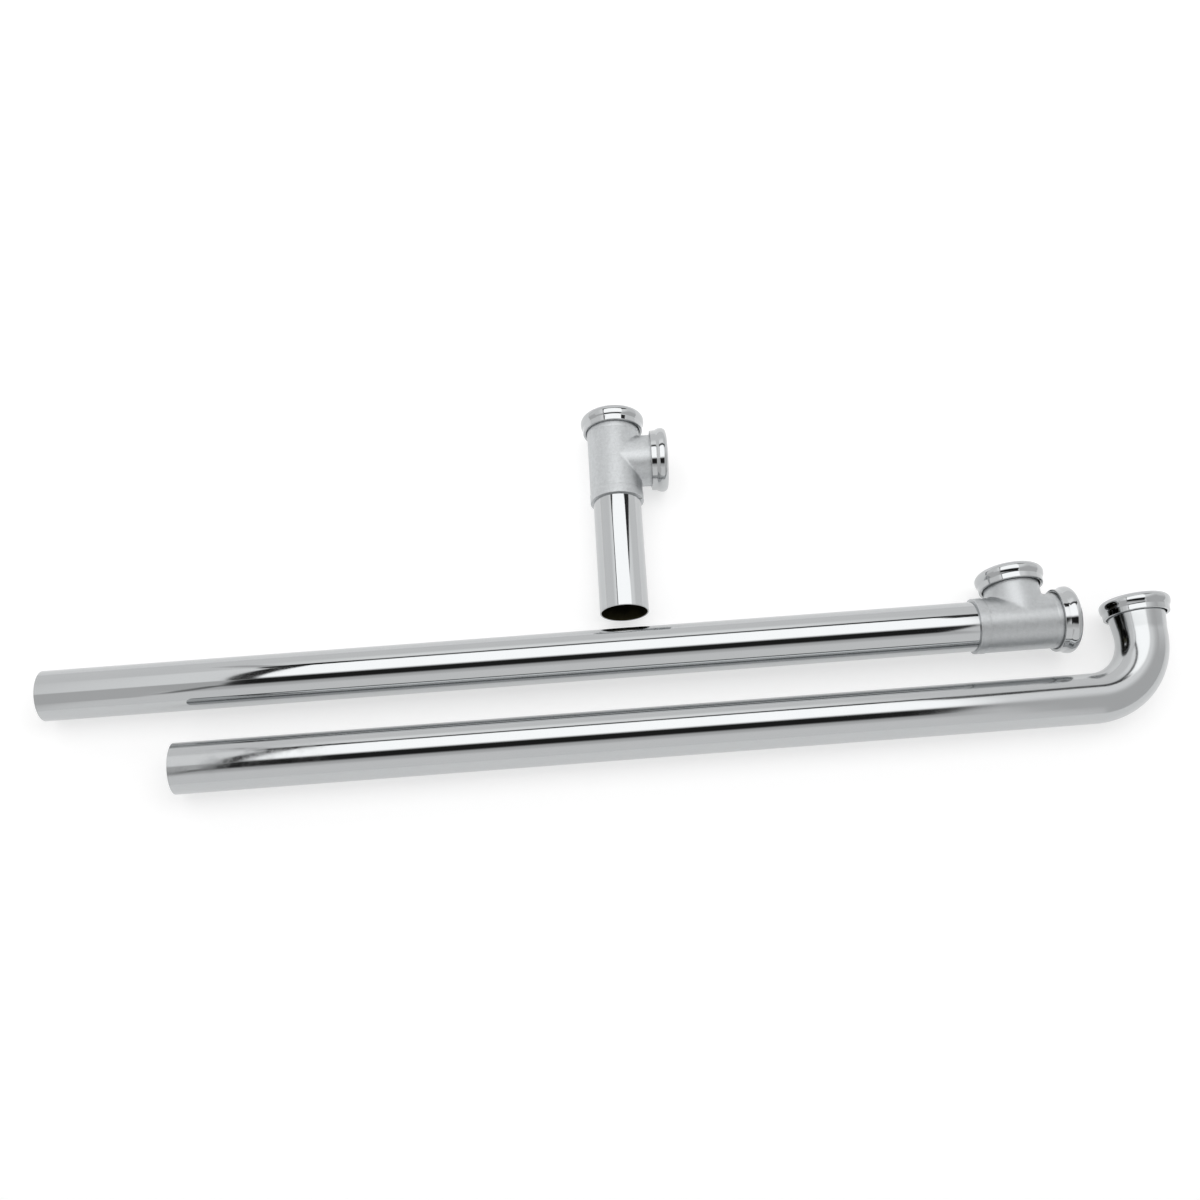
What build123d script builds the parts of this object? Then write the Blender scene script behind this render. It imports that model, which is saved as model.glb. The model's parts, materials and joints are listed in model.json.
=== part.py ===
"""Drain fitting set for a triple bowl sink, in millimetres.

Three loose fittings lie on the floor: an outlet tee with its tail, a long arm that ends in a
tee, and a long arm that ends in a bend. A round slip nut with its washer closes every end
that takes a tube.
"""
import math
import os

from build123d import *

# Tubing
TUBE_OD = 38.1
TUBE_WALL = 1.15
SPIGOT_STEP = 0.25  # radial, by which a soldered end is sized down to enter its socket
SOLDER_GAP = 0.05  # round a soldered end in its socket
SLIP_PLAY = 0.2  # radial, round a tube in a slip socket

# Plain tube that shows outside the castings and before the bend
TAIL_LENGTH = 93.4
MIDDLE_LENGTH = 702.4
END_LENGTH = 683.5

# Cast tee
TEE_WALL = 1.65  # round a slip socket in the run
BRANCH_WALL = 1.25  # round a slip socket in the branch
SEAT_STEP = 0.95  # radial, shoulder on which a tube stops in the run
BRANCH_SEAT_STEP = 1.35  # the same in the branch
SEAT_WALL = 1.5  # waterway to the shoulder behind it
BLEND = 2.4  # casting fillet between run and branch
RUN_CLEAR = 0.1  # plain body from the blend to the run's collar
BRANCH_CLEAR = 5.45  # plain body from the blend to the branch's nut
BAND_CLEAR = 6.05  # plain body from the blend to the solder socket's band
SOCKET_BAND = 6.8
SOCKET_BAND_RISE = 0.35
SOCKET_BAND_EASE = 1.0
COLLAR_RISE = 0.35  # ring behind the run's nut
COLLAR_LENGTH = 2.9
COLLAR_EASE = 0.8

# Bent end
BEND_RADIUS = 46.4
BELL_WALL = 1.6
BELL_EASE = 2.5  # from the end of the bend, half of the curve into the taper
BELL_TAPER = 11.5
BELL_LAND = 0.8  # end of the taper to the nut
BELL_SEAT = 10.0  # end of the bend to the shoulder in the bell

# Slip thread and rim
THREAD_WALL = 2.25
THREAD_LENGTH = 7.0  # back of the nut to the rim
THREAD_START = 0.8  # back of the nut to the first thread
THREAD_PLAY = 0.2  # radial, between thread and nut
RIM_CHAMFER = 0.5
RIM_SINK = 1.2  # countersink that takes the washer's bevel

# Slip washer
WASHER_PLAY = 0.3  # radial, inside the nut
WASHER_BORE_PLAY = 0.4  # radial, round a tube
WASHER_NOSE = 0.35
WASHER_EDGE = 2.0
WASHER_GAP = 0.02

# Slip nut
NUT_LIP = 3.4  # wall in front of the washer
NUT_BACK_EASE = 0.6
NUT_BAND_WALL = 2.5  # at the crease
NUT_BAND = 4.4  # back of the nut to the crease in front of its band
NUT_DRAFT = 0.3  # radial, by which the band narrows to the back
NUT_CROWN_WALL = 4.0
NUT_CROWN = 9.2  # back of the nut to its widest ring
NUT_FACE = 1.8  # flat ring round the mouth
NUT_MOUTH_PLAY = 0.55  # radial, round a tube in the nut's mouth
NUT_MOUTH_EASE = 0.6

# Where the fittings lie, from the middle tee
HEADS_GAP = 25.96  # middle tee's run nut to the bend's nut
ARMS_GAP = 23.92  # between the arms at their heads
END_HEADING = 0.14
OUTLET_X = -298.75
OUTLET_GAP = 15.15  # middle arm to the tail's end
OUTLET_HEADING = 88.6

tube_r = TUBE_OD / 2
tube_bore_r = tube_r - TUBE_WALL
spigot_r = tube_r - SPIGOT_STEP
solder_r = spigot_r + SOLDER_GAP
slip_r = tube_r + SLIP_PLAY

tee_r = slip_r + TEE_WALL
branch_r = slip_r + BRANCH_WALL
water_r = tube_r - SEAT_STEP
branch_water_r = tube_r - BRANCH_SEAT_STEP
collar_r = tee_r + COLLAR_RISE
thread_r = slip_r + THREAD_WALL

# Reaches of the tee, from where its run and branch axes cross
seat_reach = water_r + SEAT_WALL
run_reach = branch_r + BLEND + RUN_CLEAR + COLLAR_EASE + COLLAR_LENGTH
branch_reach = tee_r + BLEND + BRANCH_CLEAR
band_reach = branch_r + BLEND + BAND_CLEAR
socket_reach = band_reach + SOCKET_BAND

# Reach of the bell, from the end of the bend
bell_reach = BELL_EASE + BELL_TAPER + BELL_LAND

# Nut and washer, from the back of the nut
nut_bore_r = thread_r + THREAD_PLAY
mouth_r = tube_r + NUT_MOUTH_PLAY
band_r = nut_bore_r + NUT_BAND_WALL
crown_r = nut_bore_r + NUT_CROWN_WALL
dome_rise = crown_r - band_r
dome_r = ((NUT_CROWN - NUT_BAND) ** 2 + dome_rise**2) / (2 * dome_rise)
washer_r = nut_bore_r - WASHER_PLAY
washer_bore_r = tube_r + WASHER_BORE_PLAY
bevel_tip = THREAD_LENGTH + math.sqrt(2) * WASHER_GAP - slip_r - RIM_SINK
washer_front = bevel_tip + washer_r + WASHER_EDGE
nut_depth = washer_front + WASHER_GAP
nut_height = nut_depth + NUT_LIP


def turned(points):
    """Solid of revolution about +X from a half section of (along, radius) points."""
    return revolve(make_face(Polyline(*points, close=True)), Axis.X)


def neck_outside(back, root_r):
    """Half section of a slip neck from under its nut's back, with the thread and the rim."""
    start = back + THREAD_START
    rim = back + THREAD_LENGTH
    return [
        (start, root_r),
        (start, thread_r),
        (rim - RIM_CHAMFER, thread_r),
        (rim, thread_r - RIM_CHAMFER),
        (rim, 0),
    ]


def socket_inside(seat, back):
    """Half section of a slip socket, from its shoulder to the countersunk rim."""
    rim = back + THREAD_LENGTH
    return [
        (seat, slip_r),
        (rim - RIM_SINK, slip_r),
        (rim, slip_r + RIM_SINK),
        (rim, 0),
    ]


def cast_tee():
    """Tee with its run along +X, solder socket at the back, and its branch along +Y."""
    socket_r = tee_r + SOCKET_BAND_RISE
    collar = run_reach - COLLAR_LENGTH
    run_start = [
        (-socket_reach, 0),
        (-socket_reach, socket_r),
        (-band_reach, socket_r),
        (SOCKET_BAND_EASE - band_reach, tee_r),
        (collar - COLLAR_EASE, tee_r),
        (collar, collar_r),
    ]
    run = turned(run_start + neck_outside(run_reach, collar_r))
    branch = turned([(0, 0), (0, branch_r)] + neck_outside(branch_reach, branch_r))
    body = run + Rot(0, 0, 90) * branch
    saddle = [e for e in body.edges() if e.geom_type not in (GeomType.CIRCLE, GeomType.LINE)]
    body = fillet(saddle, BLEND)

    run_hollow = [
        (-socket_reach, 0),
        (-socket_reach, solder_r),
        (-seat_reach, solder_r),
        (-seat_reach, water_r),
        (seat_reach, water_r),
    ]
    body -= turned(run_hollow + socket_inside(seat_reach, run_reach))
    branch_hollow = [(0, 0), (0, branch_water_r), (seat_reach, branch_water_r)]
    body -= Rot(0, 0, 90) * turned(branch_hollow + socket_inside(seat_reach, branch_reach))
    return body


def soldered_tube(length):
    """Tube along +X whose sized-down end enters a socket at the given length."""
    tip = length + socket_reach - seat_reach - SOLDER_GAP
    return turned([
        (0, tube_bore_r),
        (0, tube_r),
        (length, tube_r),
        (length, spigot_r),
        (tip, spigot_r),
        (tip, tube_bore_r),
    ])


def belled_leg():
    """Belled end of a bent tube along +X, with its slip thread and socket."""
    bell_r = slip_r + BELL_WALL
    slope = math.atan2(bell_r - tube_r, BELL_TAPER)
    bell_start = (0, tube_r)
    ease_end = (BELL_EASE * (1 + math.cos(slope)), tube_r + BELL_EASE * math.sin(slope))
    bell_end = (BELL_EASE + BELL_TAPER, bell_r)
    ease = TangentArc(bell_start, ease_end, tangent=(1, 0))
    rest = Polyline(ease_end, bell_end, *neck_outside(bell_reach, bell_r), (0, 0), bell_start)
    outside = revolve(make_face([ease, rest]), Axis.X)
    hollow = [(0, 0), (0, tube_bore_r), (BELL_SEAT, tube_bore_r)]
    return outside - turned(hollow + socket_inside(BELL_SEAT, bell_reach))


def bent_tube():
    """Tube along +X that bends to +Y and ends in a belled, threaded neck."""
    ring = Plane.YZ * (Circle(tube_r) - Circle(tube_bore_r))
    straight = extrude(ring, END_LENGTH, dir=(1, 0, 0))
    pivot = Axis((END_LENGTH, BEND_RADIUS, 0), (0, 0, 1))
    bend = revolve(Pos(END_LENGTH, 0, 0) * ring, pivot, 90)
    to_leg = Pos(END_LENGTH + BEND_RADIUS, BEND_RADIUS, 0) * Rot(0, 0, 90)
    return straight + bend + to_leg * belled_leg()


def slip_nut():
    """Round nut with its back at the origin and its mouth towards +X."""
    back_r = band_r - NUT_DRAFT
    face_r = mouth_r + NUT_FACE
    round_depth = nut_height - NUT_CROWN
    round_rise = crown_r - face_r
    crease = (NUT_BAND, band_r)
    widest = (NUT_CROWN, crown_r)
    back = Polyline(
        crease,
        (NUT_BACK_EASE, back_r),
        (0, back_r - NUT_BACK_EASE),
        (0, nut_bore_r + NUT_BACK_EASE),
        (NUT_BACK_EASE, nut_bore_r),
        (nut_depth, nut_bore_r),
        (nut_depth, mouth_r),
        (nut_height - NUT_MOUTH_EASE, mouth_r),
        (nut_height, mouth_r + NUT_MOUTH_EASE),
        (nut_height, face_r),
    )
    diagonal = math.sqrt(0.5)
    front = ThreePointArc(
        (nut_height, face_r),
        (NUT_CROWN + round_depth * diagonal, face_r + round_rise * diagonal),
        widest,
    )
    dome = TangentArc(widest, crease, tangent=(-1, 0))
    return revolve(make_face([back, front, dome]), Axis.X)


def slip_washer():
    """Bevelled washer, placed as in a nut whose back is at the origin."""
    nose_r = washer_bore_r + WASHER_NOSE
    return turned([
        (washer_front, washer_bore_r),
        (washer_front, washer_r),
        (bevel_tip + washer_r, washer_r),
        (bevel_tip + nose_r, nose_r),
        (bevel_tip + nose_r, washer_bore_r),
    ])


def rest_slope(reach, start_r, height):
    """Slope at which an arm lies on its nut's dome, from a start of the given radius and height."""
    side = crown_r - dome_r - start_r
    return math.atan2(side, reach) - math.asin((height - dome_r) / math.hypot(reach, side))


def tee_fitting(length, x, y, heading, side):
    """Place, run frame and branch frame of a tee on a tube that rests on its nuts' crowns."""
    axis_at = length + socket_reach
    slope = rest_slope(axis_at + run_reach + NUT_CROWN, tube_r, 0)
    height = tube_r * math.cos(slope) + axis_at * math.sin(slope)
    rise = rest_slope(branch_reach + NUT_CROWN, 0, height)
    roll = math.degrees(math.asin(math.sin(rise) / math.cos(slope)))
    turn = roll if side > 0 else 180 - roll
    place = Pos(x, y, tube_r * math.cos(slope)) * Rot(0, 0, heading)
    place = place * Rot(0, -math.degrees(slope), 0) * Rot(turn, 0, 0)
    centre = place * Pos(axis_at, 0, 0)
    return place, centre, centre * Rot(0, 0, 90)


tee = cast_tee()
nut = slip_nut()
washer = slip_washer()

middle_x = -MIDDLE_LENGTH - socket_reach
middle, middle_run, middle_branch = tee_fitting(MIDDLE_LENGTH, middle_x, 0, 0, 1)
outlet_y = tube_r + OUTLET_GAP
outlet, outlet_run, outlet_side = tee_fitting(TAIL_LENGTH, OUTLET_X, outlet_y, OUTLET_HEADING, -1)
end_x = run_reach + nut_height + HEADS_GAP + crown_r
end_reach = END_LENGTH + BEND_RADIUS
end_rise = math.degrees(rest_slope(BEND_RADIUS + bell_reach + NUT_CROWN, 0, tube_r))
end = Pos(end_x, -TUBE_OD - ARMS_GAP, tube_r) * Rot(0, 0, END_HEADING) * Pos(-end_reach, 0, 0)
end = end * Rot(end_rise, 0, 0)
end_leg = end * Pos(end_reach, BEND_RADIUS, 0) * Rot(0, 0, 90)

outlet_top = outlet_run * Pos(run_reach, 0, 0)
outlet_branch = outlet_side * Pos(branch_reach, 0, 0)
middle_top = middle_branch * Pos(branch_reach, 0, 0)
middle_end = middle_run * Pos(run_reach, 0, 0)
end_top = end_leg * Pos(bell_reach, 0, 0)

parts = {
    "outlet_tee": outlet_run * tee,
    "outlet_tail": outlet * soldered_tube(TAIL_LENGTH),
    "outlet_top_nut": outlet_top * nut,
    "outlet_top_washer": outlet_top * washer,
    "outlet_side_nut": outlet_branch * nut,
    "outlet_side_washer": outlet_branch * washer,
    "middle_tee": middle_run * tee,
    "middle_tube": middle * soldered_tube(MIDDLE_LENGTH),
    "middle_branch_nut": middle_top * nut,
    "middle_branch_washer": middle_top * washer,
    "middle_run_nut": middle_end * nut,
    "middle_run_washer": middle_end * washer,
    "end_elbow_tube": end * bent_tube(),
    "end_nut": end_top * nut,
    "end_washer": end_top * washer,
}

box = Compound(list(parts.values())).bounding_box()
to_origin = Pos(-box.center().X, -box.center().Y, -box.min.Z)

os.makedirs("parts", exist_ok=True)
for name, shape in parts.items():
    placed = to_origin * shape
    export_step(placed, f"parts/{name}.step")
    size = placed.bounding_box().size
    print(f"{name}: {size.X:.1f} x {size.Y:.1f} x {size.Z:.1f} mm, {placed.volume / 1000:.1f} cm3")
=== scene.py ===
# %% [markdown]
# This lesson dresses a drain fitting set for a triple bowl sink: an outlet tee with a short
# tail, a long arm that ends in a tee, and a long arm that ends in a bend. The CAD model is
# loaded first as a fixed frame. It gives every place and every body that moves, so each piece
# below is modelled at the origin and then set where the frame says.

# %% The frame
import json
import math

import bpy
from mathutils import Matrix, Vector


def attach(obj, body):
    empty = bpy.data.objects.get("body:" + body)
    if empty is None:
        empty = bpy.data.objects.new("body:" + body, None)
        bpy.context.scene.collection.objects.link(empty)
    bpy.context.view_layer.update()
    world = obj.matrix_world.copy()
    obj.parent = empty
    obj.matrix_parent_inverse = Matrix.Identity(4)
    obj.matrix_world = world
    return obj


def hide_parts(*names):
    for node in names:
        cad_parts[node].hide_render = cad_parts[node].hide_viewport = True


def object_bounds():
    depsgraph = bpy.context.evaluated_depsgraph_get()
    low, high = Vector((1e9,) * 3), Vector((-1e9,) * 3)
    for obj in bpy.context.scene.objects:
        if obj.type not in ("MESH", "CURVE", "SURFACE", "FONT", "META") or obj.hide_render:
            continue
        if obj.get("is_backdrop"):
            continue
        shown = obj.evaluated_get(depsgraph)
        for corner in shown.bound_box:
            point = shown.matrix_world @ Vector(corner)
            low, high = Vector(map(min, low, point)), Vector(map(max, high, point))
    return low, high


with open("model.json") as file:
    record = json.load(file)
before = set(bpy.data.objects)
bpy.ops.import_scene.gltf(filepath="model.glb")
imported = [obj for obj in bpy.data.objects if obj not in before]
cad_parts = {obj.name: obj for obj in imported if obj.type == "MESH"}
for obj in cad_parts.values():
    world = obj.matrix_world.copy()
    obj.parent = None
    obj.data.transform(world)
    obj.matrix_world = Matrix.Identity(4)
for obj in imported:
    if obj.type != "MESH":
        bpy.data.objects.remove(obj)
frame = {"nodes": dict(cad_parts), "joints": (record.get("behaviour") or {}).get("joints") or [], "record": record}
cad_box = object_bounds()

MM = 0.001
bpy.context.scene.view_settings.view_transform = "Standard"
print("CAD nodes:", len(frame["nodes"]))

# %% [markdown]
# Each slip nut turns on a joint, and the joints carry the axes of the sockets. A tee has a nut
# on its run and one on its branch, so those two joints give its whole place. Reading them from
# the frame keeps the looks true to the CAD if the layout ever changes.

# %% Places of the fittings
NUT_HEIGHT = 13.4 * MM
RUN_REACH = 26.7 * MM
BRANCH_REACH = 28.75 * MM
BELL_REACH = 14.8 * MM
BEND_RADIUS = 46.4 * MM

turns = {j["child"]: j for j in frame["joints"] if j["type"] == "hinge"}
mounts = {m["name"]: m for m in frame["record"]["mounts"]}


def nut_axis(end):
    """Direction in which a nut is screwed off, and the middle of the nut's back."""
    joint = turns[f"{end}_nut"]
    axis = Vector(joint["axis"]).normalized()
    return axis, Vector(joint["pos_m"]) - axis * NUT_HEIGHT / 2


def place(origin, along, across):
    """Matrix that takes +X along one direction and +Y across it, from an origin."""
    x = along.normalized()
    y = (across - x * across.dot(x)).normalized()
    turn = Matrix((x, y, x.cross(y))).transposed()
    return Matrix.Translation(origin) @ turn.to_4x4()


def tee_place(run_end, branch_end):
    """Place of a tee whose run and branch carry the named nuts."""
    run, run_back = nut_axis(run_end)
    branch, _ = nut_axis(branch_end)
    return place(run_back - run * RUN_REACH, run, branch)


ENDS = ("outlet_top", "outlet_side", "middle_branch", "middle_run", "end")
nut_places = {}
for end in ENDS:
    axis, back = nut_axis(end)
    nut_places[end] = place(back, axis, Vector((0, 0, 1)))

outlet_place = tee_place("outlet_top", "outlet_side")
middle_place = tee_place("middle_run", "middle_branch")
leg, leg_back = nut_axis("end")
arm = -Vector(mounts["end_arm_end"]["axis"])
end_place = place(leg_back - arm * BEND_RADIUS - leg * (BEND_RADIUS + BELL_REACH), arm, leg)
print("middle tee at", [round(v / MM, 1) for v in middle_place.translation])

# %% [markdown]
# The camera stands where the photographer stood, almost above the set and a little in front of
# it. Its place was fitted to the outlines of the tubes. A matrix built from the right, up and
# view directions sets the aim and the small roll in one go.

# %% Camera
CAMERA_AT = Vector((-43.25, -372.59, 859.22)) * MM
CAMERA_AIM = Vector((-15.65, -36.92, 0.06)) * MM
CAMERA_ROLL = math.radians(0.295)
CAMERA_LENS = 35.38
CAMERA_SENSOR = 36
CAMERA_SHIFT = (0.0082, 0.0307)

camera_data = bpy.data.cameras.new("camera")
camera_data.lens = CAMERA_LENS
camera_data.sensor_width = CAMERA_SENSOR
camera_data.shift_x, camera_data.shift_y = CAMERA_SHIFT
camera = bpy.data.objects.new("camera", camera_data)
bpy.context.scene.collection.objects.link(camera)
bpy.context.scene.camera = camera

view = (CAMERA_AIM - CAMERA_AT).normalized()
level = view.cross(Vector((0, 0, 1))).normalized()
up = level.cross(view)
right = level * math.cos(CAMERA_ROLL) + up * math.sin(CAMERA_ROLL)
up = right.cross(view)
axes = Matrix((right, up, -view)).transposed()
camera.matrix_world = Matrix.Translation(CAMERA_AT) @ axes.to_4x4()
print("camera height in mm:", round(CAMERA_AT.z / MM))

# %% [markdown]
# Shaders are built from nodes. Short helpers add a node, set its sockets and do sums with them,
# so that the recipes below read as lists of what a finish is made of.

# %% Node helpers
def add_node(tree, kind, settings=(), **sockets):
    """Adds a node, sets its properties and fills or links its input sockets by name."""
    node = tree.nodes.new(kind)
    for name, value in dict(settings).items():
        setattr(node, name, value)
    for name, value in sockets.items():
        socket = node.inputs[int(name[1:])] if name[1:].isdigit() else node.inputs[name.replace("_", " ")]
        if isinstance(value, bpy.types.NodeSocket):
            tree.links.new(value, socket)
        else:
            socket.default_value = value
    return node


def new_material(name):
    """Empty material, with its tree and its output node."""
    material = bpy.data.materials.new(name)
    material.use_nodes = True
    tree = material.node_tree
    tree.nodes.clear()
    return material, tree, tree.nodes.new("ShaderNodeOutputMaterial")


def maths(tree, operation, a, b, clamp=False):
    """Output of a Math node on two numbers or sockets."""
    settings = {"operation": operation, "use_clamp": clamp}
    return add_node(tree, "ShaderNodeMath", settings, i0=a, i1=b).outputs[0]


def step_mask(tree, value, start, end):
    """Rises smoothly from 0 at start to 1 at end, or falls where end is the smaller."""
    settings = {"interpolation_type": "SMOOTHSTEP"}
    low, high = min(start, end), max(start, end)
    to_low, to_high = (0.0, 1.0) if start < end else (1.0, 0.0)
    node = add_node(tree, "ShaderNodeMapRange", settings, Value=value, From_Min=low, From_Max=high)
    node.inputs["To Min"].default_value = to_low
    node.inputs["To Max"].default_value = to_high
    return node.outputs[0]


print("node helpers ready")

# %% [markdown]
# Chrome shows the room more than itself, so the studio comes before any metal. The photograph's
# tubes mirror a white tent: a bright window in the roof with dark seams round it, and a dark gap
# in front of the window, where the camera looks in. The roof is one plane that glows with that
# pattern. Each patch is a four-sided sheet with its own edge softness, laid over the ones before.

# %% Studio roof
ROOF_HEIGHT = 900 * MM
ROOF_SIZE = (3200 * MM, 2800 * MM)
CLOTH = 0.94
WINDOW = 1.84


def side_mask(tree, x, y, start, end, soft):
    """1 on the left of a line across the roof and 0 on its right, over a soft edge."""
    along = (Vector(end) - Vector(start)).normalized()
    offset = start[1] * along.x - start[0] * along.y
    reach = add_node(tree, "ShaderNodeMath", {"operation": "MULTIPLY_ADD"}, i0=y, i1=along.x)
    tree.links.new(maths(tree, "MULTIPLY", x, -along.y), reach.inputs[2])
    return step_mask(tree, reach.outputs[0], offset - soft, offset + soft)


def sheet_mask(tree, x, y, corners, softness):
    """1 inside a four-sided sheet whose corners are given anticlockwise."""
    mask = None
    for start, end, soft in zip(corners, corners[1:] + corners[:1], softness):
        side = side_mask(tree, x, y, start, end, soft)
        mask = side if mask is None else maths(tree, "MULTIPLY", mask, side)
    return mask


def painted(tree, under, level, mask):
    """A glow level laid over the one below it where a mask says so."""
    node = add_node(tree, "ShaderNodeMix", {"data_type": "FLOAT", "clamp_factor": True}, i0=mask, i2=under)
    node.inputs[3].default_value = level
    return node.outputs[0]


# Sheets from the cloth up: near left, near right, far right and far left corner in metres,
# softness of the near, right, far and left edge, and level
SHEETS = {
    "side glow": (
        ((-0.80, -0.22), (0.78, -0.22), (1.20, 0.62), (-0.80, 0.62)),
        (0.05, 0.20, 0.10, 0.20), 1.16,
    ),
    "far glow": (
        ((-0.45, 0.60), (0.45, 0.60), (0.60, 1.10), (-0.60, 1.10)),
        (0.02, 0.25, 0.35, 0.25), 1.27,
    ),
    "left front": (
        ((-1.62, -1.42), (-0.93, -1.42), (-0.53, -0.24), (-1.62, -0.24)),
        (0.01, 0.02, 0.03, 0.01), 0.69,
    ),
    "right front": (
        ((0.93, -1.42), (1.62, -1.42), (1.62, 0.30), (0.55, -0.24)),
        (0.01, 0.01, 0.20, 0.02), 0.69,
    ),
    "near grey": (
        ((-0.74, -1.05), (0.74, -1.05), (0.58, -0.60), (-0.66, -0.24)),
        (0.25, 0.02, 0.02, 0.02), 0.66,
    ),
    "window": (
        ((-0.530, -0.30), (0.575, -0.30), (0.590, 0.50), (-0.478, 0.50)),
        (0.01, 0.035, 0.02, 0.004), WINDOW,
    ),
    "far seam": (
        ((-0.53, 0.495), (0.62, 0.495), (0.64, 0.655), (-0.55, 0.655)),
        (0.02, 0.01, 0.05, 0.01), 0.14,
    ),
    "far seam left": (
        ((-0.53, 0.48), (-0.38, 0.48), (-0.40, 0.66), (-0.56, 0.67)),
        (0.02, 0.05, 0.02, 0.008), 0.0,
    ),
    "far seam right": (
        ((0.32, 0.50), (0.62, 0.50), (0.64, 0.64), (0.34, 0.64)),
        (0.02, 0.01, 0.03, 0.12), 0.06,
    ),
    "right seam": (
        ((0.56, 0.345), (1.22, 0.70), (1.08, 0.83), (0.56, 0.60)),
        (0.010, 0.02, 0.03, 0.01), 0.04,
    ),
    "dark gap": (
        ((-0.605, -0.69), (0.585, -0.71), (0.575, -0.223), (-0.528, -0.223)),
        (0.11, 0.01, 0.085, 0.01), 0.02,
    ),
    "left seam": (
        ((-0.545, -0.25), (-0.503, -0.25), (-0.443, 0.54), (-0.507, 0.54)),
        (0.01, 0.006, 0.01, 0.006), 0.02,
    ),
    "left near seam": (
        ((-0.82, -1.10), (-0.77, -1.10), (-0.565, -0.58), (-0.61, -0.58)),
        (0.20, 0.012, 0.01, 0.012), 0.22,
    ),
    "left far seam": (
        ((-0.555, 0.64), (-0.51, 0.64), (-0.72, 1.30), (-0.78, 1.30)),
        (0.01, 0.012, 0.30, 0.012), 0.62,
    ),
}

roof_material, tree, output = new_material("tent_roof")
where = add_node(tree, "ShaderNodeTexCoord").outputs["Object"]
split = add_node(tree, "ShaderNodeSeparateXYZ", Vector=where)
glow = CLOTH
for corners, softness, level_here in SHEETS.values():
    mask = sheet_mask(tree, split.outputs["X"], split.outputs["Y"], corners, softness)
    glow = painted(tree, glow, level_here, mask)
emission = add_node(tree, "ShaderNodeEmission", Color=(1, 1, 1, 1), Strength=glow)
tree.links.new(emission.outputs[0], output.inputs["Surface"])

bpy.ops.object.select_all(action="DESELECT")
bpy.ops.mesh.primitive_plane_add(size=1)
roof = bpy.context.object
roof.name = "tent_roof"
roof.scale = (*ROOF_SIZE, 1)
roof.location = (0, 0, ROOF_HEIGHT)
bpy.ops.object.transform_apply(location=True, rotation=True, scale=True)
roof.data.materials.append(roof_material)
roof.visible_camera = False
roof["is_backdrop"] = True
print("roof sheets:", len(SHEETS))

# %% [markdown]
# The tent's walls are the world. They are near white behind and straight in front, and greyer at
# the front corners. The floor is white paper. A diffuse floor alone renders as pale grey, so for
# rays from the camera and from shiny pieces a little glow is added, and the part that is still
# diffuse keeps the soft shadow under the tubes.

# %% Walls and floor
WALL = 0.95
CORNER_WALL = 0.69
FLOOR_SIZE = 12.0
FLOOR_GLOW = 0.56

world = bpy.data.worlds.new("tent")
world.use_nodes = True
tree = world.node_tree
way = add_node(tree, "ShaderNodeTexCoord").outputs["Generated"]
split = add_node(tree, "ShaderNodeSeparateXYZ", Vector=way)
to_front = maths(tree, "MULTIPLY", split.outputs["Y"], -1.0)
aside = maths(tree, "ABSOLUTE", split.outputs["X"], 0.0)
corner = step_mask(tree, maths(tree, "SUBTRACT", aside, maths(tree, "MULTIPLY", to_front, 0.42)), 0.0, 0.12)
corner = maths(tree, "MULTIPLY", corner, step_mask(tree, to_front, -0.25, 0.05))
glow = painted(tree, WALL, CORNER_WALL, corner)
tree.links.new(glow, tree.nodes["Background"].inputs["Color"])
bpy.context.scene.world = world

floor_material, tree, output = new_material("white_paper")
path = add_node(tree, "ShaderNodeLightPath")
seen = maths(tree, "ADD", path.outputs["Is Camera Ray"], path.outputs["Is Glossy Ray"], True)
seen = maths(tree, "ADD", seen, path.outputs["Is Transmission Ray"], True)
paper = add_node(tree, "ShaderNodeBsdfDiffuse", Color=(0.8, 0.8, 0.8, 1))
lit = add_node(tree, "ShaderNodeBsdfDiffuse", Color=(0.55, 0.55, 0.55, 1))
shine = add_node(tree, "ShaderNodeEmission", Color=(1, 1, 1, 1), Strength=FLOOR_GLOW)
both = add_node(tree, "ShaderNodeAddShader", i0=lit.outputs[0], i1=shine.outputs[0])
mix = add_node(tree, "ShaderNodeMixShader", i0=seen, i1=paper.outputs[0], i2=both.outputs[0])
tree.links.new(mix.outputs[0], output.inputs["Surface"])

bpy.ops.object.select_all(action="DESELECT")
bpy.ops.mesh.primitive_plane_add(size=FLOOR_SIZE)
floor = bpy.context.object
floor.name = "floor"
floor.data.materials.append(floor_material)
floor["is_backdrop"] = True
print("floor side in m:", FLOOR_SIZE)

# %% [markdown]
# Polished chrome over drawn brass is a near mirror. It is never quite even: polishing leaves
# the tube a little wavy, and handling leaves a faint film. A low bump over a long distance
# makes the mirrored edges waver, and a roughness that drifts makes the film. The recipe is a
# function, because the nuts and the bent tube were polished in their own ways.

# %% Polished chrome
def object_noise(tree, scale, detail=2.0, rough=0.5):
    """Noise in the piece's own coordinates, with cells of 1 / scale metres."""
    where = add_node(tree, "ShaderNodeTexCoord").outputs["Object"]
    return add_node(tree, "ShaderNodeTexNoise", Vector=where, Scale=scale, Detail=detail, Roughness=rough)


def ramped(tree, value, low, high, from_low=0.3, from_high=0.7):
    """A value taken from one range to another."""
    node = add_node(tree, "ShaderNodeMapRange", Value=value, From_Min=from_low, From_Max=from_high)
    node.inputs["To Min"].default_value = low
    node.inputs["To Max"].default_value = high
    return node.outputs[0]


def tinted(tree, mask, low, high):
    """Colour between two, by a mask."""
    ramp = add_node(tree, "ShaderNodeValToRGB", i0=mask)
    ramp.color_ramp.elements[0].color = (*low, 1)
    ramp.color_ramp.elements[1].color = (*high, 1)
    return ramp.outputs["Color"]


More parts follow.
